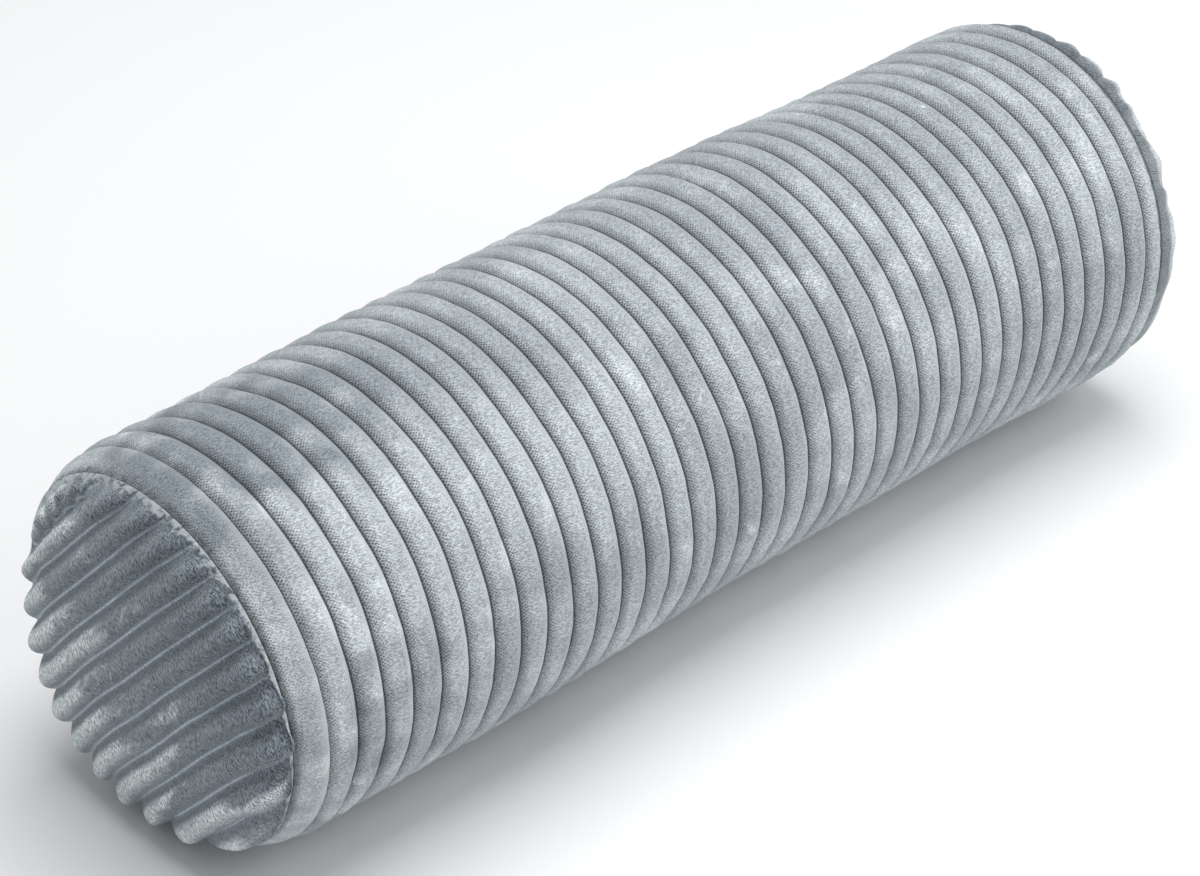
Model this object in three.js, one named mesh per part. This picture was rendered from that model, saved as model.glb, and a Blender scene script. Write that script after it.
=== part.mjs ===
// A firm neck roll of wide-ribbed short plush: a stuffed tube panel with a round panel sewn into each end.
// Millimetres, +Z up. The roll lies along X on its own small flat spot, which is the plane z = 0.

import * as THREE from 'three';
import { mergeGeometries, mergeVertices } from 'three/addons/utils/BufferGeometryUtils.js';

// Driving dimensions of the whole roll
const ROLL_DIAMETER = 142.2;
const SEAM_TO_SEAM = 411.7;
const NEAR_SEAM_DIAMETER = 129.4;
const FAR_SEAM_DIAMETER = 135;
const PIECE_GAP = 0.3;
const FLAT_SPOT_DEPTH = 2.5;

// The barrel shape: a slow taper to both ends, and a quicker drawing-in beside each seam
const BARREL_TAPER = 0.3;
const NEAR_DRAW_IN_REACH = 17;
const FAR_DRAW_IN_REACH = 8;

// Ribs of the cloth: wider towards the near end, where the cloth is stretched. The near seam pulls the first
// rib flat.
const RIB_COUNT = 37;
const FIRST_RIB_WIDTH = 10.9;
const SECOND_RIB_WIDTH = 11.55;
const LEAST_RIB_WIDTH = 10.93;
const NARROWEST_RIB = 26;
const RIB_DEPTH = 2.8;
const FIRST_RIB_DEPTH = 1.2;
const RIB_ROUNDNESS = 0.6;

// Steps of the faceted surface
const STEPS_PER_RIB = 4;
const STEPS_ROUND = 32;

// Slow waves, in mm and degrees: how the ribs wander along the roll as they go round it, how the filling
// swells, how far the roll leans along its length from one side to the other, and how far it is bowed
// sideways. The first two fade out beside the seams.
const RIB_WANDER = [
  { height: 0.45, length: 370, start: 208, turns: 0, lean: 0 },
  { height: 1.35, length: 332, start: 294, turns: 2, lean: 42 },
  { height: 1.15, length: 493, start: 49, turns: 2, lean: 49 },
];
const FILLING_SWELL = [
  { height: 0.3, length: 160, start: 227, turns: 0, lean: 0 },
  { height: 0.4, length: 310, start: 70, turns: 2, lean: 30 },
  { height: 0.3, length: 150, start: 200, turns: 3, lean: 75 },
];
const LENGTHWISE_LEAN = [
  { height: 2.55, length: 400, start: 129, turns: 1, lean: 45 },
  { height: 2.75, length: 575, start: 282, turns: 1, lean: 42 },
];
const BOW = [
  { height: 1.5, length: 431, start: 324, turns: 0, lean: 0 },
  { height: 1.7, length: 1367, start: 73, turns: 0, lean: 0 },
];
const WAVE_FADE_REACH = 14;

// The end discs: ribs straight across, domed by the filling, fuller towards the bottom
const DISC_RIB_WIDTH = 11.2;
const DISC_RIB_DEPTH_MIDDLE = 2.6;
const DISC_RIM_SQUARENESS = 6;
const DISC_RIM_FADE = 4;
const DISC_SAG = 0.15;
const DISC_LEAN_FADE = 14;
const LOBE_REACH = 14;
const LOBE_SHARPNESS = 0.5;

// The near and the far disc: the turn of the ribs from the Y axis, how far the dome rises over its rim and
// then over its middle, the ribs' depth beside the rim, how far the rib ends bulge over the seam at places
// round the rim, and how deep the notches between them are. Angles are in degrees from the disc's own Y axis
// towards its Z axis.
const NEAR_DISC = {
  diameter: NEAR_SEAM_DIAMETER,
  ribsTurn: 46.5,
  rimRise: 8.5,
  crownRise: 3.9,
  rimRibDepth: 4.2,
  bulges: [
    { at: -80, bulge: 1.5, notch: 1.5 },
    { at: -25, bulge: 3, notch: 3 },
    { at: 30, bulge: 0.5, notch: 0.5 },
    { at: 150, bulge: -2.5, notch: 0 },
    { at: 185, bulge: 3, notch: 3 },
    { at: 222, bulge: 8, notch: 3 },
  ],
};
const FAR_DISC = {
  diameter: FAR_SEAM_DIAMETER,
  ribsTurn: 95,
  rimRise: 10,
  crownRise: 1.9,
  rimRibDepth: 2.2,
  bulges: [
    { at: -60, bulge: 2, notch: 0.6 },
    { at: 60, bulge: 1.3, notch: 0.4 },
    { at: 115, bulge: 4.8, notch: 1.4 },
    { at: 147, bulge: 3, notch: 0.9 },
    { at: 180, bulge: 3.4, notch: 1 },
  ],
};

// Places of the points along one rib of a disc, as fractions of the half length, closest by the rim
const DISC_ROWS = [0, 0.35, 0.68, 0.87, 0.95, 0.985, 1];

// Sizes that follow
const ROLL_RADIUS = ROLL_DIAMETER / 2;
const AXIS_HEIGHT = ROLL_RADIUS - FLAT_SPOT_DEPTH;
const BODY_HALF_LENGTH = (SEAM_TO_SEAM - PIECE_GAP) / 2;

// Colours and finish of the cloth
const tubeCloth = new THREE.MeshStandardMaterial({ color: 0x9da4a8, roughness: 0.95, metalness: 0 });
const discCloth = new THREE.MeshStandardMaterial({ color: 0x89929a, roughness: 0.95, metalness: 0 });

const radians = THREE.MathUtils.degToRad;
const clamp = THREE.MathUtils.clamp;

// The sum of slow standing waves along the roll and round it
function waves(table, along, angle) {
  let sum = 0;
  for (const { height, length, start, turns, lean } of table) {
    const alongPart = Math.cos((2 * Math.PI * along) / length + radians(start));
    sum += height * alongPart * Math.cos(turns * (angle - radians(lean)));
  }
  return sum;
}

// Height of a rounded rib over its two creases, from 0 in a crease to 1 on the crown
function ribRise(ribsAcross) {
  return Math.abs(Math.sin(Math.PI * ribsAcross)) ** RIB_ROUNDNESS;
}

// One closed surface: shared points are made one, and faces without area are left out
function welded(geometry) {
  geometry.deleteAttribute('normal');
  geometry.deleteAttribute('uv');
  const merged = mergeVertices(geometry);
  const index = merged.getIndex().array;
  const kept = [];
  for (let i = 0; i < index.length; i += 3) {
    const [a, b, c] = index.slice(i, i + 3);
    if (a !== b && b !== c && c !== a) {
      kept.push(a, b, c);
    }
  }
  merged.setIndex(kept);
  merged.computeVertexNormals();
  return merged;
}

// The creases between the ribs, from the near seam to the far one
function creasePlaces() {
  const places = [-BODY_HALF_LENGTH, -BODY_HALF_LENGTH + FIRST_RIB_WIDTH];
  for (let rib = 1; rib < RIB_COUNT - 1; rib += 1) {
    const stretch = (NARROWEST_RIB - rib) / (NARROWEST_RIB - 1);
    const width = LEAST_RIB_WIDTH + (SECOND_RIB_WIDTH - LEAST_RIB_WIDTH) * stretch ** 2;
    places.push(places[rib] + width);
  }
  places.push(BODY_HALF_LENGTH);
  return places;
}

// Radius over the rib crowns, before the ribs themselves
function barrelRadius(along) {
  const fromMiddle = along / BODY_HALF_LENGTH;
  const isNear = along < 0;
  const reach = isNear ? NEAR_DRAW_IN_REACH : FAR_DRAW_IN_REACH;
  const seamRadius = (isNear ? NEAR_SEAM_DIAMETER : FAR_SEAM_DIAMETER) / 2;
  const toSeam = clamp((BODY_HALF_LENGTH - Math.abs(along)) / reach, 0, 1);
  const drawIn = ROLL_RADIUS - BARREL_TAPER - seamRadius;
  return ROLL_RADIUS - BARREL_TAPER * fromMiddle ** 2 - drawIn * (1 - toSeam) ** 2;
}

// Puts a piece round the roll's bowed and leaning middle line, with nothing under the surface it rests on.
// The domes of the discs stand straighter than their seams.
function settle(geometry) {
  const points = geometry.getAttribute('position');
  for (let i = 0; i < points.count; i += 1) {
    const x = points.getX(i);
    const y = points.getY(i);
    const z = points.getZ(i);
    const along = clamp(x, -BODY_HALF_LENGTH, BODY_HALF_LENGTH);
    const domeHeight = Math.max(Math.abs(x) - BODY_HALF_LENGTH - PIECE_GAP, 0);
    const freedom = (1 - Math.min(domeHeight / DISC_LEAN_FADE, 1)) * (Math.hypot(y, z) / ROLL_RADIUS);
    const lean = freedom * waves(LENGTHWISE_LEAN, along, Math.atan2(z, y));
    points.setXYZ(i, x + lean, waves(BOW, along, 0) + y, Math.max(AXIS_HEIGHT + z, 0));
  }
  geometry.computeVertexNormals();
}

// The filled tube: a lathe profile with each rib raised in it, then wandering, swelling and flattened below
function rollBody() {
  const creases = creasePlaces();
  const profile = [new THREE.Vector2(0, -BODY_HALF_LENGTH)];
  for (let rib = 0; rib < RIB_COUNT; rib += 1) {
    const depth = rib === 0 ? FIRST_RIB_DEPTH : RIB_DEPTH;
    for (let step = 0; step < STEPS_PER_RIB; step += 1) {
      const across = step / STEPS_PER_RIB;
      const along = THREE.MathUtils.lerp(creases[rib], creases[rib + 1], across);
      const sunk = along > -BODY_HALF_LENGTH ? depth * (1 - ribRise(across)) : 0;
      profile.push(new THREE.Vector2(barrelRadius(along) - sunk, along));
    }
  }
  profile.push(new THREE.Vector2(FAR_SEAM_DIAMETER / 2, BODY_HALF_LENGTH));
  profile.push(new THREE.Vector2(0, BODY_HALF_LENGTH));

  const geometry = welded(new THREE.LatheGeometry(profile, STEPS_ROUND));
  const points = geometry.getAttribute('position');
  for (let i = 0; i < points.count; i += 1) {
    const along = points.getY(i);
    const radius = Math.hypot(points.getX(i), points.getZ(i));
    const angle = Math.atan2(points.getX(i), points.getZ(i));
    const freedom = clamp((BODY_HALF_LENGTH - Math.abs(along)) / WAVE_FADE_REACH, 0, 1);
    const x = along + freedom * waves(RIB_WANDER, along, angle);
    const r = radius + freedom * waves(FILLING_SWELL, along, angle);
    points.setXYZ(i, x, r * Math.cos(angle), r * Math.sin(angle));
  }
  settle(geometry);
  const mesh = new THREE.Mesh(geometry, tubeCloth);
  mesh.name = 'roll_body';
  return mesh;
}

// A disc's bulge or notch at an angle round its rim, eased from each place in its list to the next
function rimAt(disc, kind, angle) {
  const turn = THREE.MathUtils.radToDeg(angle);
  const { bulges } = disc;
  for (let i = 0; i < bulges.length; i += 1) {
    const from = bulges[i];
    const to = bulges[(i + 1) % bulges.length];
    const span = THREE.MathUtils.euclideanModulo(to.at - from.at, 360);
    const past = THREE.MathUtils.euclideanModulo(turn - from.at, 360);
    if (past <= span) {
      return THREE.MathUtils.lerp(from[kind], to[kind], THREE.MathUtils.smoothstep(past, 0, span));
    }
  }
  return 0;
}

// A place on a disc's flat back, across and along its ribs, as y and z with the disc's middle at 0
function flatPlace(disc, across, along) {
  const turn = radians(disc.ribsTurn);
  const y = along * Math.cos(turn) - across * Math.sin(turn);
  const z = along * Math.sin(turn) + across * Math.cos(turn);
  return [y, z];
}

// One point of a disc's front, raised towards +X
function frontPoint(disc, across, along) {
  const [y, z] = flatPlace(disc, across, along);
  const rimRadius = disc.diameter / 2;
  const radius = Math.hypot(across, along);
  const outwards = Math.min(radius / rimRadius, 1);
  const inside = Math.max(rimRadius - radius, 0);
  const low = -z / rimRadius;

  const rise = ribRise(across / DISC_RIB_WIDTH);
  const depth = THREE.MathUtils.lerp(DISC_RIB_DEPTH_MIDDLE, disc.rimRibDepth, outwards ** 2);
  const rib = depth * (rise - 0.5) * Math.min(inside / DISC_RIM_FADE, 1);
  const shoulder = disc.rimRise * Math.sqrt(1 - outwards ** DISC_RIM_SQUARENESS);
  const crown = disc.crownRise * (1 - outwards ** 2);
  const height = (shoulder + crown) * (1 + DISC_SAG * low) + rib;

  // Each rib's end bulges over the seam
  const lobe = Math.sin(Math.PI * Math.min(inside / LOBE_REACH, 1) ** LOBE_SHARPNESS);
  const angle = Math.atan2(z, y);
  const bulge = rimAt(disc, 'bulge', angle) - rimAt(disc, 'notch', angle) * (1 - rise);
  const grown = radius > 0 ? 1 + (bulge * lobe) / radius : 1;
  return [height, y * grown, z * grown];
}

// One point of a disc's back
function backPoint(disc, across, along) {
  return [0, ...flatPlace(disc, across, along)];
}

// A grid of points on a disc, one line of it along each crease, flank and crown, with the given rows on it
function discGrid(disc, rows, pointAt) {
  const rimRadius = disc.diameter / 2;
  const spacing = DISC_RIB_WIDTH / STEPS_PER_RIB;
  const lines = [-rimRadius];
  const lastLine = Math.floor(rimRadius / spacing);
  for (let line = -lastLine; line <= lastLine; line += 1) {
    lines.push(line * spacing);
  }
  lines.push(rimRadius);
  const geometry = new THREE.PlaneGeometry(1, 1, lines.length - 1, rows.length - 1);
  const points = geometry.getAttribute('position');
  for (let row = 0; row < rows.length; row += 1) {
    for (let line = 0; line < lines.length; line += 1) {
      const across = lines[line];
      const along = rows[row] * Math.sqrt(rimRadius ** 2 - across ** 2);
      points.setXYZ(row * lines.length + line, ...pointAt(disc, across, along));
    }
  }
  return geometry;
}

// An end disc as one closed solid, set beyond the end of the roll body that its turn about Z makes it face
function endDisc(name, disc, turn) {
  const halfRows = DISC_ROWS.slice(1);
  const rows = [...halfRows.map((place) => -place).reverse(), ...DISC_ROWS];
  const front = discGrid(disc, rows, frontPoint);
  const back = discGrid(disc, [1, -1], backPoint);
  const geometry = welded(mergeGeometries([front, back]));
  geometry.translate(BODY_HALF_LENGTH + PIECE_GAP, 0, 0);
  geometry.rotateZ(turn);
  settle(geometry);
  const mesh = new THREE.Mesh(geometry, discCloth);
  mesh.name = name;
  return mesh;
}

const neckRoll = new THREE.Group();
neckRoll.add(rollBody(), endDisc('end_disc_near', NEAR_DISC, Math.PI), endDisc('end_disc_far', FAR_DISC, 0));

export default neckRoll;
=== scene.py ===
import math

import bmesh
import bpy
import numpy as np
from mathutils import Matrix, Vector, noise


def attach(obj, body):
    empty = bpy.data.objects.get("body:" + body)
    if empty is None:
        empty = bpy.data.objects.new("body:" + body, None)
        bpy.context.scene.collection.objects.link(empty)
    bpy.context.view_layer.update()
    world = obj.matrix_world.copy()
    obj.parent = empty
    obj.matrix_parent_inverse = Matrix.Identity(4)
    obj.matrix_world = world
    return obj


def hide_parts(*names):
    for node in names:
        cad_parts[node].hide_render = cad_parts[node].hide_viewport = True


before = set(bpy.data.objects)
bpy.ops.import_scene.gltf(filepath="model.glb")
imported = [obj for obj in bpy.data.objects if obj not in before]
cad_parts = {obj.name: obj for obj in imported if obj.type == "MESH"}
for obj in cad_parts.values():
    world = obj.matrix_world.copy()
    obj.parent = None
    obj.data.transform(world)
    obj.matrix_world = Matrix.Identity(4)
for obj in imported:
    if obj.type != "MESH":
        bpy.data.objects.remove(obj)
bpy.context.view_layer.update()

# Tube panel with its filling
# One length of wide-ribbed short plush, cut so that its ribs run round the roll, closed into a tube and
# stuffed firm. It is a barrel that draws in to a seam at each end, and lies on a small flat spot.

MM = 0.001
ROLL_RADIUS = 71.1
AXIS_HEIGHT = 68.6
BODY_HALF_LENGTH = 205.7
NEAR_SEAM_RADIUS = 64.7
FAR_SEAM_RADIUS = 67.5
BARREL_TAPER = 0.3
NEAR_DRAW_IN_REACH = 17
FAR_DRAW_IN_REACH = 8
WAVE_FADE_REACH = 14
MERGE_WITHIN = 0.01
ON_CREASE = 0.0001

RIB_COUNT = 37
FIRST_RIB_WIDTH = 10.9
SECOND_RIB_WIDTH = 11.55
LEAST_RIB_WIDTH = 10.93
NARROWEST_RIB = 26
RIB_DEPTH = 3.0
FIRST_RIB_DEPTH = 1.3
RIB_ROUNDNESS = 0.55
TUBE_RIB_SKEW = 1.15
NEAR_RIB_FADE = 3
RIB_END_FADE = 0.2
RIB_STEPS = (0, 0.035, 0.1, 0.2, 0.34, 0.5, 0.66, 0.8, 0.9, 0.965)
STEPS_ROUND = 250

# Slow waves, in mm and degrees: how the ribs wander along the roll, how the filling swells, how far the roll
# leans along its length from one side to the other, and how far it is bowed sideways
RIB_WANDER = (
    {"height": 0.45, "length": 370, "start": 208, "turns": 0, "lean": 0},
    {"height": 1.35, "length": 332, "start": 294, "turns": 2, "lean": 42},
    {"height": 1.15, "length": 493, "start": 49, "turns": 2, "lean": 49},
)
FILLING_SWELL = (
    {"height": 0.3, "length": 160, "start": 227, "turns": 0, "lean": 0},
    {"height": 0.4, "length": 310, "start": 70, "turns": 2, "lean": 30},
    {"height": 0.3, "length": 150, "start": 200, "turns": 3, "lean": 75},
)
LENGTHWISE_LEAN = (
    {"height": 2.55, "length": 400, "start": 129, "turns": 1, "lean": 45},
    {"height": 2.75, "length": 575, "start": 282, "turns": 1, "lean": 42},
)
BOW = (
    {"height": 1.5, "length": 431, "start": 324, "turns": 0, "lean": 0},
    {"height": 1.7, "length": 1367, "start": 73, "turns": 0, "lean": 0},
)

# Unevenness of the hand filling and of the cloth: its height, the size of its swellings in mm, and its seed
TUBE_UNEVEN = {
    "rib_depth": {"height": 0.25, "size": 30, "seed": 6},
    "filling": {"height": 0.35, "size": 16, "seed": 1},
    "lumps": {"height": 0.22, "size": 6, "seed": 2},
    "wander": {"height": 0.35, "size": 22, "seed": 5},
    "brushed_border": {"height": 6, "size": 25, "seed": 8},
    "brushed_patches": {"height": 1.4, "size": 10, "seed": 9},
}

# Short tucks where the cloth is gathered into a seam, in two sizes: depth and width in mm. A squeeze under 1
# draws them out along the roll. They reach a few mm from the seam, deepest at the top of the near end.
TUCKS = (
    {"depth": 1, "width": 5, "squeeze": 0.25, "seed": 3},
    {"depth": 0.5, "width": 2.6, "squeeze": 0.3, "seed": 4},
)
TUCK_REACH = 4.5
TUCK_DEPTH = 1.6
TUCK_MORE_AT_TOP = 1.4
TUCK_TOP = 80
TUCK_TOP_SPREAD = 30
TUCK_LIFT = 0.4

# How the pile was brushed and where light is painted on, in degrees round the roll and mm along it: a painted
# highlight along the front, past a brushed border that moves and softens away from the near end, and painted
# shade over the top
NEAR_END_FROM = -60
NEAR_END_REACH = 110
PAINTED_HIGHLIGHT_AT = 140
PAINTED_SHADE_AT = 92
PAINTED_LIGHT_SPREAD = 24
PAINTED_HIGHLIGHT_AMOUNT = 0.3
PAINTED_HIGHLIGHT_MORE_NEAR = 0.55
PAINTED_SHADE_AMOUNT = 0.15
PAINTED_SHADE_MORE_NEAR = 0.85
BORDER_AT = 128
BORDER_DROP = 15
BORDER_FROM = -195
BORDER_REACH = 60
BORDER_SOFTNESS = 14
BORDER_SHARPER_NEAR = 11
SEAM_MARK_REACH = 5
SEAM_MARK_FAR = 0.6


def waves(table, along, angle):
    """The sum of slow standing waves along the roll and round it."""
    total = np.zeros(np.shape(along))
    for row in table:
        lengthwise = np.cos(2 * np.pi * along / row["length"] + np.radians(row["start"]))
        total = total + row["height"] * lengthwise * np.cos(row["turns"] * (angle - np.radians(row["lean"])))
    return total


def rib_rise(ribs_across, skew):
    """Height of a rounded rib: 0 in its creases, 1 on its crown. A skew over 1 steepens its second side."""
    part = ribs_across - np.floor(ribs_across)
    return np.abs(np.sin(np.pi * part**skew)) ** RIB_ROUNDNESS


def soft_noise(points, size, seed):
    """Smooth noise from -1 to 1 at points in mm, with swellings of about the given size in mm."""
    away = Vector((seed * 17.3, seed * 5.1, seed * 9.7))
    return np.array([noise.noise(Vector(p) / size + away) for p in points])


def uneven(points, kind, own_seed=0):
    """One kind of unevenness at points in mm, from its height, size and seed."""
    return kind["height"] * soft_noise(points, kind["size"], kind["seed"] + own_seed)


def hump(value, middle, spread):
    """1 at a middle value, easing to 0 past a spread to both sides."""
    return np.exp(-(((value - middle) / spread) ** 2))


def crease_places():
    """Places of the creases along the roll, from the near seam to the far one."""
    places = [-BODY_HALF_LENGTH, -BODY_HALF_LENGTH + FIRST_RIB_WIDTH]
    for rib in range(1, RIB_COUNT - 1):
        stretch = (NARROWEST_RIB - rib) / (NARROWEST_RIB - 1)
        places.append(places[-1] + LEAST_RIB_WIDTH + (SECOND_RIB_WIDTH - LEAST_RIB_WIDTH) * stretch**2)
    return np.array(places + [BODY_HALF_LENGTH])


def points_of(bm):
    """A mesh's points in mm, one row each."""
    return np.array([v.co[:] for v in bm.verts]) / MM


def set_points(bm, points):
    """Moves a mesh's points to places in mm."""
    for vert, place in zip(bm.verts, points * MM):
        vert.co = place


def finished(name, bm):
    """Makes an object of a mesh."""
    mesh = bpy.data.meshes.new(name)
    bm.to_mesh(mesh)
    bm.free()
    mesh.shade_smooth()
    piece = bpy.data.objects.new(name, mesh)
    bpy.context.scene.collection.objects.link(piece)
    return piece


def keep_marks(bm, marks):
    """Keeps named numbers on a mesh's points, for its material."""
    layers = [bm.verts.layers.float.new(mark) for mark in marks]
    for vert, values in zip(bm.verts, zip(*marks.values())):
        for layer, value in zip(layers, values):
            vert[layer] = value


def tube_panel():
    """The stuffed tube: a profile spun round the roll's axis, then ribbed, wandering and settled."""
    creases = crease_places()
    along = [start + step * (end - start) for start, end in zip(creases, creases[1:]) for step in RIB_STEPS]
    along.append(BODY_HALF_LENGTH)
    bm = bmesh.new()
    ends = [(-BODY_HALF_LENGTH, 0)] + [(x, NEAR_SEAM_RADIUS) for x in along] + [(BODY_HALF_LENGTH, 0)]
    line = [bm.verts.new((x * MM, 0, radius * MM)) for x, radius in ends]
    for first, second in zip(line, line[1:]):
        bm.edges.new((first, second))
    bmesh.ops.spin(bm, geom=bm.verts[:] + bm.edges[:], axis=(1, 0, 0), cent=(0, 0, 0), angle=2 * math.pi,
                   steps=STEPS_ROUND, use_merge=True)
    bmesh.ops.remove_doubles(bm, verts=bm.verts, dist=MERGE_WITHIN * MM)

    points = points_of(bm)
    x = points[:, 0]
    angle = np.arctan2(points[:, 2], points[:, 1])
    on_skin = np.hypot(points[:, 1], points[:, 2]) > NEAR_SEAM_RADIUS / 2
    rib = np.clip(np.searchsorted(creases, x + ON_CREASE) - 1, 0, RIB_COUNT - 1)
    across = (x - creases[rib]) / (creases[rib + 1] - creases[rib])
    to_seam = BODY_HALF_LENGTH - np.abs(x)
    freedom = np.clip(to_seam / WAVE_FADE_REACH, 0, 1)
    shell = np.column_stack((x, ROLL_RADIUS * np.cos(angle), ROLL_RADIUS * np.sin(angle)))

    depth = np.where(rib == 0, FIRST_RIB_DEPTH, RIB_DEPTH)
    depth = depth * np.where(x < 0, np.minimum(to_seam / NEAR_RIB_FADE, 1), 1)
    depth = depth * np.minimum(to_seam / RIB_END_FADE, 1) * (1 + uneven(shell, TUBE_UNEVEN["rib_depth"]))
    seam_radius = np.where(x < 0, NEAR_SEAM_RADIUS, FAR_SEAM_RADIUS)
    held = 1 - np.clip(to_seam / np.where(x < 0, NEAR_DRAW_IN_REACH, FAR_DRAW_IN_REACH), 0, 1)
    draw_in = (ROLL_RADIUS - BARREL_TAPER - seam_radius) * held**2
    radius = ROLL_RADIUS - BARREL_TAPER * (x / BODY_HALF_LENGTH) ** 2 - draw_in
    radius = radius - depth * (1 - rib_rise(across, TUBE_RIB_SKEW))
    swelling = waves(FILLING_SWELL, x, angle) + uneven(shell, TUBE_UNEVEN["filling"])
    radius = radius + freedom * (swelling + uneven(shell, TUBE_UNEVEN["lumps"]))

    turned = np.degrees(angle) % 360
    tucks = np.zeros_like(x)
    for row in TUCKS:
        drawn_out = shell * (row["squeeze"], 1, 1)
        tucks = tucks + row["depth"] * np.abs(soft_noise(drawn_out, row["width"], row["seed"]))
    gathered = TUCK_DEPTH + TUCK_MORE_AT_TOP * hump(turned, TUCK_TOP, TUCK_TOP_SPREAD) * (x < 0)
    beside_seam = np.exp(-to_seam / TUCK_REACH) * np.clip(to_seam, 0, 1)
    radius = radius - beside_seam * (gathered * tucks - TUCK_LIFT)

    wandered = x + freedom * (waves(RIB_WANDER, x, angle) + uneven(shell, TUBE_UNEVEN["wander"]))
    place = wandered + radius / ROLL_RADIUS * waves(LENGTHWISE_LEAN, wandered, angle)
    height = AXIS_HEIGHT + radius * np.sin(angle)
    sideways = waves(BOW, wandered, 0)
    points = np.column_stack((place, sideways + radius * np.cos(angle), np.maximum(height, 0)))
    axis_points = np.column_stack((x, sideways, np.full_like(x, AXIS_HEIGHT)))
    set_points(bm, np.where(on_skin[:, None], points, axis_points))

    # Painted light for the material: a painted highlight along the front and painted shade over the top, both
    # stronger near the near end, where a brushed border and random brushed patches also lie
    at_near_end = np.clip((NEAR_END_FROM - x) / NEAR_END_REACH, 0, 1)
    border = BORDER_AT - BORDER_DROP * np.clip((x - BORDER_FROM) / BORDER_REACH, 0, 1)
    border = border + uneven(shell, TUBE_UNEVEN["brushed_border"])
    past_border = np.tanh((turned - border) / (BORDER_SOFTNESS - BORDER_SHARPER_NEAR * at_near_end))
    pale = hump(turned, PAINTED_HIGHLIGHT_AT, PAINTED_LIGHT_SPREAD) * (0.5 + 0.5 * past_border)
    nap_and_painted_light = (PAINTED_HIGHLIGHT_AMOUNT + PAINTED_HIGHLIGHT_MORE_NEAR * at_near_end) * pale
    nap_and_painted_light = nap_and_painted_light - (PAINTED_SHADE_AMOUNT + PAINTED_SHADE_MORE_NEAR * at_near_end) * hump(turned, PAINTED_SHADE_AT, PAINTED_LIGHT_SPREAD)
    nap_and_painted_light = nap_and_painted_light + at_near_end**3 * uneven(shell, TUBE_UNEVEN["brushed_patches"])
    seam_mark = np.exp(-to_seam / SEAM_MARK_REACH) * np.where(x < 0, 1, SEAM_MARK_FAR)
    keep_marks(bm, {"ribs": rib + across, "nap_and_painted_light": nap_and_painted_light, "seam": seam_mark})
    bmesh.ops.recalc_face_normals(bm, faces=bm.faces)
    return finished("tube_panel", bm)


def linear(hex_colour):
    """Scene-linear RGBA of an sRGB colour written as #rrggbb."""
    parts = [int(hex_colour[i:i + 2], 16) / 255 for i in (1, 3, 5)]
    return [part / 12.92 if part <= 0.04045 else ((part + 0.055) / 1.055) ** 2.4 for part in parts] + [1]


def node(tree, kind, settings=None, inputs=None):
    """Adds a node. An input is a value, or a socket of another node, which is linked."""
    made = tree.nodes.new(kind)
    for name, value in (settings or {}).items():
        setattr(made, name, value)
    for name, value in (inputs or {}).items():
        socket = made.inputs[name]
        if isinstance(value, bpy.types.NodeSocket):
            tree.links.new(value, socket)
        else:
            socket.default_value = value
    return made


def maths(tree, operation, first, second=0.0):
    """The outcome of one sum on numbers or sockets."""
    return node(tree, "ShaderNodeMath", {"operation": operation}, {0: first, 1: second}).outputs[0]


def ramp(tree, value, low, high, at_low=0.0, at_high=1.0):
    """Eases from one value to another as the input goes from low to high."""
    made = node(tree, "ShaderNodeMapRange", {"interpolation_type": "SMOOTHSTEP"},
                {"Value": value, "From Min": low, "From Max": high, "To Min": at_low, "To Max": at_high})
    return made.outputs["Result"]


HIGHEST_TONE = 4


def profile(tree, value, points):
    """A number that runs from point to point, each a place from 0 to 1 and a height up to the highest tone."""
    made = node(tree, "ShaderNodeValToRGB", None, {"Fac": value})
    stops = made.color_ramp.elements
    for _ in points[2:]:
        stops.new(0.5)
    for stop, (place, height) in zip(stops, points):
        stop.position = place
        stop.color = [height / HIGHEST_TONE] * 3 + [1]
    return maths(tree, "MULTIPLY", made.outputs["Color"], HIGHEST_TONE)


def mix(tree, amount, first, second):
    """A blend of two colours, each a value or a socket."""
    return node(tree, "ShaderNodeMix", {"data_type": "RGBA"},
                {"Factor": amount, "A": first, "B": second}).outputs["Result"]


def noise_at(tree, place, size, stretch=(1, 1, 1), detail=2, distortion=0.0):
    """Noise at a place, with swellings of about a size in mm, drawn out where the stretch is under 1."""
    squeezed = node(tree, "ShaderNodeVectorMath", {"operation": "MULTIPLY"}, {0: place, 1: stretch})
    made = node(tree, "ShaderNodeTexNoise", None, {
        "Vector": squeezed.outputs["Vector"], "Scale": 1 / (size * MM), "Detail": detail, "Roughness": 0.55,
        "Distortion": distortion,
    })
    return made.outputs["Fac"]


# The cloth's fine sizes in mm. The real fibres are too fine to show, so a stroke stands for a tuft of them.
STROKE_WIDTH = 0.4545
STROKE_BEND = 1
STROKE_BEND_SIZE = 3.333
RELIEF_DEPTH = 0.8
RELIEF_STRENGTH = 0.7
STROKE_RISE = 0.8
TUFT_SIZE = 2.381
DOT_JITTER_SIZE = 2
DOT_JITTER = 4
DOTS_ROUND = 360
DOTS_PER_RIB = 9

# Where each feature of the cloth begins and is full, as parts of a rib's width, of a noise or of a mark
STROKE_ZONE = (0.25, 0.75)
DOT_EDGE = (0, 0.9)
DOT_ZONE = (0.05, 0.35)
DOTS_PAST_ZONE = 0.15
CREASE_ZONE = (0, 0.09)
CREASE_STEEPER_BEFORE = 4
FLAT_AND_SHADE_ZONE = (0.25, 1)
FLAT_AND_SHADE_MOST = 0.9
RAISED_AND_GLINT_ZONE = (0.63, 0.75)
SEAM_ZONE = (0.6, 0.85)
FRAY_ZONE = (0.34, 0.5)
NAP_AND_LIGHT_TO_PATCHES = 0.3
NAP_AND_LIGHT_TO_GLINT = 0.2


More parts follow.
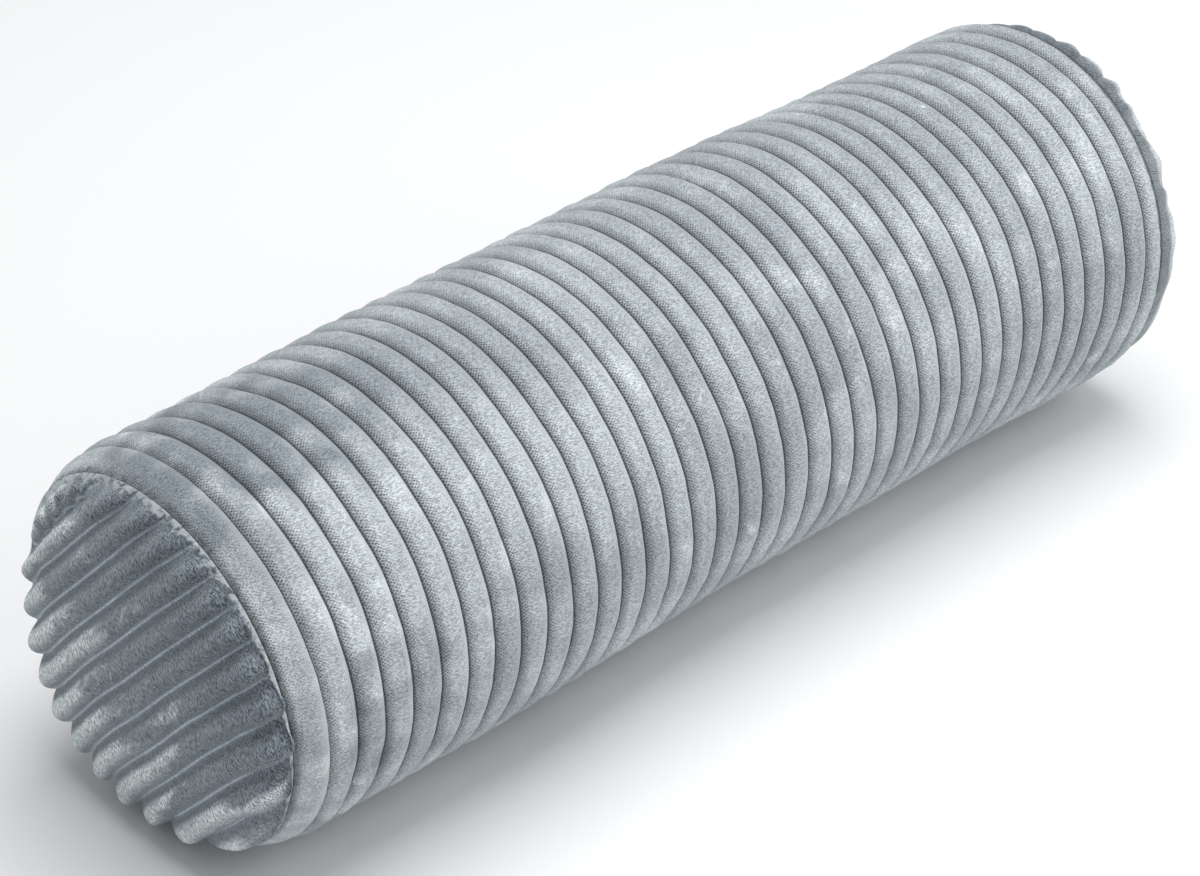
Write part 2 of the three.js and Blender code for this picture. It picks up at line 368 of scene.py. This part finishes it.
def ribbed_plush(name, look):
    """Ribbed short-pile polyester plush, knitted and brushed: matt, with a soft pale sheen at grazing angles.
    The look gives its colours, how they are brushed, and its tone across each rib from crease to crease, which
    is painted shade and painted highlight."""
    material = bpy.data.materials.new(name)
    material.use_nodes = True
    tree = material.node_tree
    shader = tree.nodes["Principled BSDF"]
    shader.inputs["Roughness"].default_value = 0.9
    shader.inputs["IOR"].default_value = 1.5
    shader.inputs["Specular IOR Level"].default_value = 0.15
    shader.inputs["Sheen Weight"].default_value = look["sheen"]
    shader.inputs["Sheen Roughness"].default_value = 0.45
    shader.inputs["Sheen Tint"].default_value = linear("#eef2f2")

    place = node(tree, "ShaderNodeTexCoord").outputs["Object"]
    turned = node(tree, "ShaderNodeMapping", {"vector_type": "POINT"},
                  {"Vector": place, "Rotation": (look["turn"], 0, 0)}).outputs["Vector"]
    ribs = node(tree, "ShaderNodeAttribute", {"attribute_name": "ribs"}).outputs["Fac"]
    # A mark of painted light mixed with brushed pile: painted highlight where it is high, painted shade where
    # it is low
    nap_and_painted_light = node(tree, "ShaderNodeAttribute", {"attribute_name": "nap_and_painted_light"}).outputs["Fac"]
    seam = node(tree, "ShaderNodeAttribute", {"attribute_name": "seam"}).outputs["Fac"]
    across = maths(tree, "FRACT", ribs)

    # Brushed patches with ragged edges, on the near disc along the middle of each rib, and pile lying flat.
    # The painted light in the mark read above pushes the patches towards the light colour as painted
    # highlight, and towards the flat colour as painted shade
    patches = noise_at(tree, turned, look["patch_size"], look["patch_shape"], detail=4, distortion=0.5)
    brushed = maths(tree, "ADD", patches, maths(tree, "MULTIPLY", nap_and_painted_light, NAP_AND_LIGHT_TO_PATCHES))
    on_rib = profile(tree, across, look["patch_profile"])
    colour = mix(tree, maths(tree, "MULTIPLY", ramp(tree, brushed, *look["brushing"]), on_rib),
                 linear(look["shade"]), linear(look["light"]))
    # Painted shade with some random flat pile: the colour darkens towards the flat colour where the mark is
    # low
    flat = maths(tree, "ADD", maths(tree, "MULTIPLY", nap_and_painted_light, -1), maths(tree, "SUBTRACT", 0.5, patches))
    colour = mix(tree, ramp(tree, flat, *FLAT_AND_SHADE_ZONE, 0, FLAT_AND_SHADE_MOST), colour, linear(look["flat"]))
    # Pale streaks in the bright colour: partly upright brushed pile, partly a painted glint gathered where the
    # painted highlight is
    streaks = noise_at(tree, turned, look["patch_size"] / 2, look["patch_shape"], detail=4, distortion=0.5)
    upright_and_glint = maths(tree, "ADD", streaks, maths(tree, "MULTIPLY", nap_and_painted_light, NAP_AND_LIGHT_TO_GLINT))
    raised = ramp(tree, upright_and_glint, *RAISED_AND_GLINT_ZONE, 0, look["raised"])
    colour = mix(tree, maths(tree, "MULTIPLY", raised, on_rib), colour, linear(look["bright"]))

    # Pile: strokes about half a millimetre wide that lie across the ribs, a little bent
    bend = node(tree, "ShaderNodeTexNoise", None, {
        "Vector": turned, "Scale": 1 / (STROKE_BEND_SIZE * MM), "Detail": 1}).outputs["Color"]
    bent = node(tree, "ShaderNodeVectorMath", {"operation": "MULTIPLY_ADD"},
                {0: bend, 1: [STROKE_BEND * MM] * 3, 2: turned}).outputs["Vector"]
    strokes = noise_at(tree, bent, STROKE_WIDTH, look["lie"], detail=1)
    stroke_tone = ramp(tree, strokes, *STROKE_ZONE, 1 - look["pile"], 1 + look["pile"])
    smooth = maths(tree, "MINIMUM", profile(tree, across, look["smooth_profile"]), 1)
    smoothed = node(tree, "ShaderNodeMix", None, {"Factor": smooth, "A": stroke_tone, "B": 1.0})

    # Knit dots on the open side of each rib, in rows along it
    parts = node(tree, "ShaderNodeSeparateXYZ", None, {0: turned})
    if look["round"]:
        up = maths(tree, "SUBTRACT", parts.outputs["Z"], AXIS_HEIGHT * MM)
        row = maths(tree, "MULTIPLY", maths(tree, "ARCTAN2", up, parts.outputs["Y"]), DOTS_ROUND)
    else:
        row = maths(tree, "MULTIPLY", parts.outputs["Y"], DOTS_ROUND / (ROLL_RADIUS * MM))
    column = maths(tree, "MULTIPLY", ribs, 2 * math.pi * DOTS_PER_RIB)
    jitter = maths(tree, "MULTIPLY", noise_at(tree, turned, DOT_JITTER_SIZE, detail=1), DOT_JITTER)
    dots = maths(tree, "MULTIPLY", maths(tree, "COSINE", maths(tree, "ADD", row, jitter)),
                 maths(tree, "COSINE", maths(tree, "SUBTRACT", column, jitter)))
    dot_zone = ramp(tree, across, *DOT_ZONE, 1, DOTS_PAST_ZONE)
    dot_depth = maths(tree, "MULTIPLY", ramp(tree, dots, *DOT_EDGE), dot_zone)
    dot_tone = maths(tree, "SUBTRACT", 1, maths(tree, "MULTIPLY", dot_depth, look["dots"]))

    # Tone across each rib, as painted light: painted shade after one crease, a painted highlight on the lip
    # before the next
    pile_tone = maths(tree, "MULTIPLY", smoothed.outputs["Result"], dot_tone)
    tone = maths(tree, "MULTIPLY", pile_tone, profile(tree, across, look["profile"]))
    toned = node(tree, "ShaderNodeMix", {"data_type": "RGBA", "blend_type": "MULTIPLY"},
                 {"Factor": 1, "A": colour, "B": tone}).outputs["Result"]
    # Painted shade: a dark line in each crease, in the crease colour
    before_crease = maths(tree, "MULTIPLY", maths(tree, "SUBTRACT", 1, across), CREASE_STEEPER_BEFORE)
    to_crease = maths(tree, "MINIMUM", across, before_crease)
    in_crease = ramp(tree, to_crease, *CREASE_ZONE, look["crease_shade_amount"], 0)
    creased = mix(tree, in_crease, toned, linear(look["crease"]))

    # Shade in the seam, and pale tufts where the cut pile is caught in it
    shaded = mix(tree, ramp(tree, seam, *SEAM_ZONE, 0, look["seam_shade"]), creased, linear(look["crease"]))
    tufts = noise_at(tree, bent, TUFT_SIZE, detail=3)
    frayed = ramp(tree, maths(tree, "MULTIPLY", seam, tufts), *FRAY_ZONE, 0, look["fray"])
    tree.links.new(mix(tree, frayed, shaded, linear(look["light"])), shader.inputs["Base Color"])

    # Relief: the strokes stand up, and the knit dots lie deeper
    relief = maths(tree, "SUBTRACT", maths(tree, "MULTIPLY", strokes, STROKE_RISE), dot_depth)
    bump = node(tree, "ShaderNodeBump", None, {
        "Strength": RELIEF_STRENGTH, "Distance": RELIEF_DEPTH * MM, "Height": relief})
    tree.links.new(bump.outputs["Normal"], shader.inputs["Normal"])
    return material


tube = tube_panel()
# The tube's plush: its crease colour is painted shade in each crease, and its profile painted shade and
# highlight across each rib
tube_plush = ribbed_plush("ribbed_plush_tube", {
    "shade": "#a4abb0", "light": "#c1c8cb", "bright": "#d8dfe1", "flat": "#868e95", "raised": 0.7,
    "patch_size": 31.25, "patch_shape": (1, 1, 1), "patch_profile": ((0, 1), (1, 1)),
    "brushing": (0.34, 0.72), "crease": "#363e46", "crease_shade_amount": 0.9, "sheen": 0.45, "turn": 0,
    "round": True, "lie": (0.33, 1, 1), "pile": 0.35, "dots": 0.65,
    "profile": ((0, 0.7), (0.08, 0.84), (0.16, 0.98), (0.26, 1.1), (0.36, 1.1), (0.5, 1.01), (0.7, 0.97),
                (0.86, 1.02), (0.94, 1), (1, 0.9)),
    "smooth_profile": ((0, 0), (0.68, 0), (0.86, 1), (1, 1)), "seam_shade": 0.6, "fray": 0.2,
})
tube.data.materials.append(tube_plush)
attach(tube, "root")
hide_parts("roll_body")

# End discs
# Two round panels of the same plush, their ribs straight across, sewn into the tube's ends. The filling domes
# them, fuller towards the bottom, and each rib's end bulges past the seam with a notch beside it.

DISC_RIB_WIDTH = 11.2
DISC_RIB_SKEW = 1.5
DISC_RIB_DEPTH_MIDDLE = 2.6
DISC_RIM_SQUARENESS = 6
DISC_RIM_FADE = 3
DISC_SAG = 0.15
DISC_LEAN_FADE = 14
LOBE_REACH = 14
LAP_AT = 2.5
LAP_SPREAD = 2
LAP_DROP = 1.6
DISC_GAP = 0.3
DISC_LINES = 230
DISC_ROWS = 200
FIRST_DISC_RIB = 20
FLOOR_CLEARANCE = 0.2

# Unevenness of the discs: height, size in mm, and a seed to which each disc adds its own
DISC_UNEVEN = {
    "rib_places": {"height": 0.5, "size": 30, "seed": 0},
    "filling": {"height": 0.4, "size": 14, "seed": 1},
    "lumps": {"height": 0.2, "size": 6, "seed": 2},
    "rib_ends": {"height": 0.3, "size": 12, "seed": 3},
    "crumples": {"height": 2.2, "size": 6, "seed": 4},
    "crumple_places": {"height": 2, "size": 20, "seed": 5},
}

# Where the rib ends are crumpled, in degrees, how far the small creases there bulge, and how many fill a turn
CRUMPLED_AT = 130
CRUMPLED_SPREAD = 32
CRUMPLE_BULGE = 1.0
CRUMPLES_ROUND = 40

# How a disc is made paler: downwards and to its left as painted light, and at the rib ends partly brushed pile
# and partly painted sheen
PAINTED_LIGHT_DOWN = 0.85
PAINTED_LIGHT_LEFT = 0.65
PALE_AT_TIPS = 0.6
NAP_AND_LIGHT_LEAST = -0.7
NAP_AND_LIGHT_MOST = 1.3
DISC_SEAM_MARK_REACH = 3

# Each disc: its rim's radius, the turn of its ribs from its own Y axis in degrees, the rise of its rim and of
# its middle, and its ribs' depth beside the rim. Then, at places round the rim in degrees, how far the rib
# ends bulge, how deep the notches between them are, and how far the ends lap over the seam, in mm. The near
# disc's pile is brushed flat and the far one's up, and the near disc's darker colours are also painted shade
# on the end that faces away from the light.
DISCS = (
    {
        "name": "disc_near", "node": "end_disc_near", "outwards": -1, "rim": NEAR_SEAM_RADIUS, "turn": 46.5,
        "rim_rise": 8.5, "crown_rise": 3.9, "rim_depth": 4.2, "seed": 11,
        "at": (-138, -105, -80, -45, -25, 10, 30, 50, 120, 150, 165, 190, 205, 222),
        "bulge": (8, 4, 1.5, 2, 4, 5.5, 5, 0.5, -1, -3, -1.5, 2, 5.5, 8),
        "notch": (1.5, 3, 4, 3, 4, 5, 5, 0.5, 0.8, 2, 3, 3.5, 2, 1.5),
        "lap": (0, 0, 0, 1, 3, 3.5, 3, 0.5, 0, 0, 0, 0, 0, 0),
        # Darker colours than the far disc's: partly pile brushed flat, partly painted shade on the end facing
        # away from the light
        "look": {
            "shade": "#8a939b", "light": "#dfe6e8", "bright": "#edf2f4", "flat": "#7a838b", "raised": 0.8,
            "patch_size": 13.33, "patch_shape": (1, 0.4, 1), "brushing": (0.44, 0.64), "pile": 0.7,
            "fray": 0.5,
            "patch_profile": ((0, 0), (0.2, 0.1), (0.38, 1), (0.62, 1), (0.88, 0.2), (1, 0)),
            # Painted light across each rib: a painted highlight on the lip at each crease, painted shade in
            # the bands between
            "profile": ((0, 2.6), (0.025, 2), (0.055, 1.25), (0.12, 0.98), (0.21, 0.8), (0.33, 1.02),
                        (0.45, 1.02), (0.6, 0.9), (0.84, 0.72), (0.94, 0.82), (0.97, 1.6), (1, 2.6)),
            "smooth_profile": ((0, 0.5), (0.1, 0.3), (0.25, 0.15), (0.4, 0), (0.9, 0), (1, 0.5)),
        },
    },
    {
        "name": "disc_far", "node": "end_disc_far", "outwards": 1, "rim": FAR_SEAM_RADIUS, "turn": 95,
        "rim_rise": 10, "crown_rise": 1.9, "rim_depth": 2.2, "seed": 31,
        "at": (-180, -60, 60, 115, 147, 180),
        "bulge": (3.4, 2, 1.3, 4.8, 3, 3.4),
        "notch": (0.8, 0.6, 0.4, 0.9, 0.8, 0.8),
        "lap": (0, 0, 0, 0, 0, 0),
        "look": {
            "shade": "#a8aeb3", "light": "#c2c7ca", "bright": "#d6dddf", "flat": "#868e95", "raised": 0.5,
            "patch_size": 16.67, "patch_shape": (1, 0.7, 1), "brushing": (0.36, 0.6), "pile": 0.4,
            "fray": 0.1,
            "patch_profile": ((0, 1), (1, 1)),
            "profile": ((0, 0.8), (0.1, 0.95), (0.3, 1.1), (0.6, 1), (0.85, 0.98), (1, 1.1)),
            "smooth_profile": ((0, 0.5), (0.2, 0), (0.86, 0), (0.96, 1)),
        },
    },
)


def rim_size(disc, kind, degrees):
    """A size from a disc's table at places round its rim."""
    return np.interp(degrees, disc["at"], disc[kind], period=360)


def end_disc(disc):
    """A domed disc: a square grid drawn into a circle, its lines along the ribs, then raised and closed."""
    bm = bmesh.new()
    bmesh.ops.create_grid(bm, x_segments=DISC_LINES, y_segments=DISC_ROWS, size=1)
    grid = np.array([v.co[:2] for v in bm.verts])
    rim_radius = disc["rim"]
    seed = disc["seed"]
    across = rim_radius * grid[:, 0]
    along = np.sin(np.pi / 2 * grid[:, 1]) * np.sqrt(np.maximum(rim_radius**2 - across**2, 0))
    radius = np.hypot(across, along)
    turn = math.radians(disc["turn"])
    y = along * math.cos(turn) - across * math.sin(turn)
    z = along * math.sin(turn) + across * math.cos(turn)

    flat = np.column_stack((np.zeros_like(y), y, z))
    ribs = FIRST_DISC_RIB - (across + uneven(flat, DISC_UNEVEN["rib_places"], seed)) / DISC_RIB_WIDTH
    rise = rib_rise(ribs, DISC_RIB_SKEW)
    inside = np.maximum(rim_radius - radius, 0)
    low = -z / rim_radius
    outer = np.minimum(radius / rim_radius, 1)
    dome = disc["rim_rise"] * np.sqrt(1 - outer**DISC_RIM_SQUARENESS) + disc["crown_rise"] * (1 - outer**2)
    rim = np.minimum(inside / DISC_RIM_FADE, 1)
    depth = DISC_RIB_DEPTH_MIDDLE + (disc["rim_depth"] - DISC_RIB_DEPTH_MIDDLE) * outer**2
    height = dome * (1 + DISC_SAG * low) + depth * (rise - 0.5) * rim
    filling = uneven(flat, DISC_UNEVEN["filling"], seed) + uneven(flat, DISC_UNEVEN["lumps"], seed)
    height = height + rim * filling
    turned = np.degrees(np.arctan2(z, y)) % 360
    crumpled = hump(turned, CRUMPLED_AT, CRUMPLED_SPREAD) * outer**5
    height = height + rim * crumpled * uneven(flat, DISC_UNEVEN["crumples"], seed)
    crumples = np.sin(np.radians(turned) * CRUMPLES_ROUND + uneven(flat, DISC_UNEVEN["crumple_places"], seed))
    bulge = rim_size(disc, "bulge", turned) * (1 + uneven(flat, DISC_UNEVEN["rib_ends"], seed))
    bulge = bulge + CRUMPLE_BULGE * crumpled * crumples
    notch = rim_size(disc, "notch", turned) * (1 - rise)
    lobe = np.sin(np.pi * np.sqrt(np.minimum(inside / LOBE_REACH, 1)))
    grown = 1 + (bulge - notch) * lobe / np.maximum(radius, 1)
    lap = rim_size(disc, "lap", turned) * rise * hump(inside, LAP_AT, LAP_SPREAD)
    height = height - rim * lap * LAP_DROP

    # Each disc leans with its seam, and its dome stands straighter
    outwards = disc["outwards"]
    seam_place = outwards * BODY_HALF_LENGTH
    freedom = (1 - np.clip(height / DISC_LEAN_FADE, 0, 1)) * radius * grown / ROLL_RADIUS
    lean = freedom * waves(LENGTHWISE_LEAN, np.full_like(y, seam_place), np.arctan2(z, outwards * y))
    place = seam_place + outwards * (DISC_GAP + height) + lean
    sideways = float(waves(BOW, seam_place, 0))
    above_floor = np.maximum(AXIS_HEIGHT + z * grown, FLOOR_CLEARANCE)
    set_points(bm, np.column_stack((place, sideways + outwards * y * grown, above_floor)))

    # Painted light: the disc is made paler downwards and to its left, and at its rib ends
    left = -y / rim_radius
    at_tips = outer**8 * (0.5 + 0.5 * left)
    nap_and_painted_light = np.clip(PAINTED_LIGHT_DOWN * low + PAINTED_LIGHT_LEFT * left + PALE_AT_TIPS * at_tips, NAP_AND_LIGHT_LEAST, NAP_AND_LIGHT_MOST)
    keep_marks(bm, {"ribs": ribs, "nap_and_painted_light": nap_and_painted_light, "seam": np.exp(-inside / DISC_SEAM_MARK_REACH)})
    bmesh.ops.remove_doubles(bm, verts=bm.verts, dist=2 * MERGE_WITHIN * MM)
    rim_edges = [edge for edge in bm.edges if edge.is_boundary]
    bmesh.ops.holes_fill(bm, edges=rim_edges, sides=0)
    bmesh.ops.recalc_face_normals(bm, faces=bm.faces)
    return finished(disc["name"], bm)


for spec in DISCS:
    disc = end_disc(spec)
    disc_plush = ribbed_plush("ribbed_plush_" + spec["name"], {
        **spec["look"], "crease": "#4c545c", "crease_shade_amount": 0, "sheen": 0.45, "lie": (1, 1, 0.3),
        "turn": -spec["outwards"] * math.radians(spec["turn"]), "round": False, "dots": 0.1,
        "seam_shade": 0.6,
    })
    disc.data.materials.append(disc_plush)
    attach(disc, "root")
    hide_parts(spec["node"])

# Floor, light and camera
# A plain pale floor, a large soft light from above, a weaker one from the front, and the photo's viewpoint.

floor_bm = bmesh.new()
bmesh.ops.create_grid(floor_bm, x_segments=1, y_segments=1, size=6)
floor = finished("floor", floor_bm)
# Matt white paint: pale and even, without a gloss
floor_paint = bpy.data.materials.new("matt_white_paint")
floor_paint.use_nodes = True
floor_shader = floor_paint.node_tree.nodes["Principled BSDF"]
floor_shader.inputs["Base Color"].default_value = linear("#f4f4f4")
floor_shader.inputs["Roughness"].default_value = 0.9
floor.data.materials.append(floor_paint)


def soft_light(name, place, size, power):
    """A square soft light that looks at the roll's middle."""
    lamp = bpy.data.lights.new(name, "AREA")
    lamp.size = size
    lamp.energy = power
    holder = bpy.data.objects.new(name, lamp)
    holder.location = place
    away = Vector(place) - Vector((0, 0, AXIS_HEIGHT * MM))
    holder.rotation_euler = away.to_track_quat("Z", "Y").to_euler()
    bpy.context.scene.collection.objects.link(holder)


soft_light("top", (0.1, 0, 1.6), 1.2, 20)
soft_light("front", (0.9, -1.0, 0.9), 1.2, 9)
world = bpy.data.worlds.new("studio")
world.use_nodes = True
world.node_tree.nodes["Background"].inputs["Color"].default_value = (0.93, 0.97, 1, 1)
world.node_tree.nodes["Background"].inputs["Strength"].default_value = 0.35
bpy.context.scene.world = world
bpy.context.scene.view_settings.view_transform = "Standard"

CAMERA_AZIMUTH = math.radians(-43.8)
CAMERA_ELEVATION = math.radians(34.39)
CAMERA_DISTANCE = 1.2471
CAMERA_RIGHT = -0.01214
CAMERA_UP = -0.01199
CAMERA_AIM = (0.00285, 0.00072, 0.0686)
LENS = 108
SENSOR_WIDTH = 36

back = Vector((
    math.sin(CAMERA_AZIMUTH) * math.cos(CAMERA_ELEVATION),
    -math.cos(CAMERA_AZIMUTH) * math.cos(CAMERA_ELEVATION),
    math.sin(CAMERA_ELEVATION),
))
turn = back.to_track_quat("Z", "Y")
eye = bpy.data.cameras.new("photo_view")
eye.lens = LENS
eye.sensor_width = SENSOR_WIDTH
camera = bpy.data.objects.new("photo_view", eye)
camera.rotation_euler = turn.to_euler()
sideways = turn @ Vector((CAMERA_RIGHT, CAMERA_UP, 0))
camera.location = Vector(CAMERA_AIM) + back * CAMERA_DISTANCE + sideways
bpy.context.scene.collection.objects.link(camera)
bpy.context.scene.camera = camera
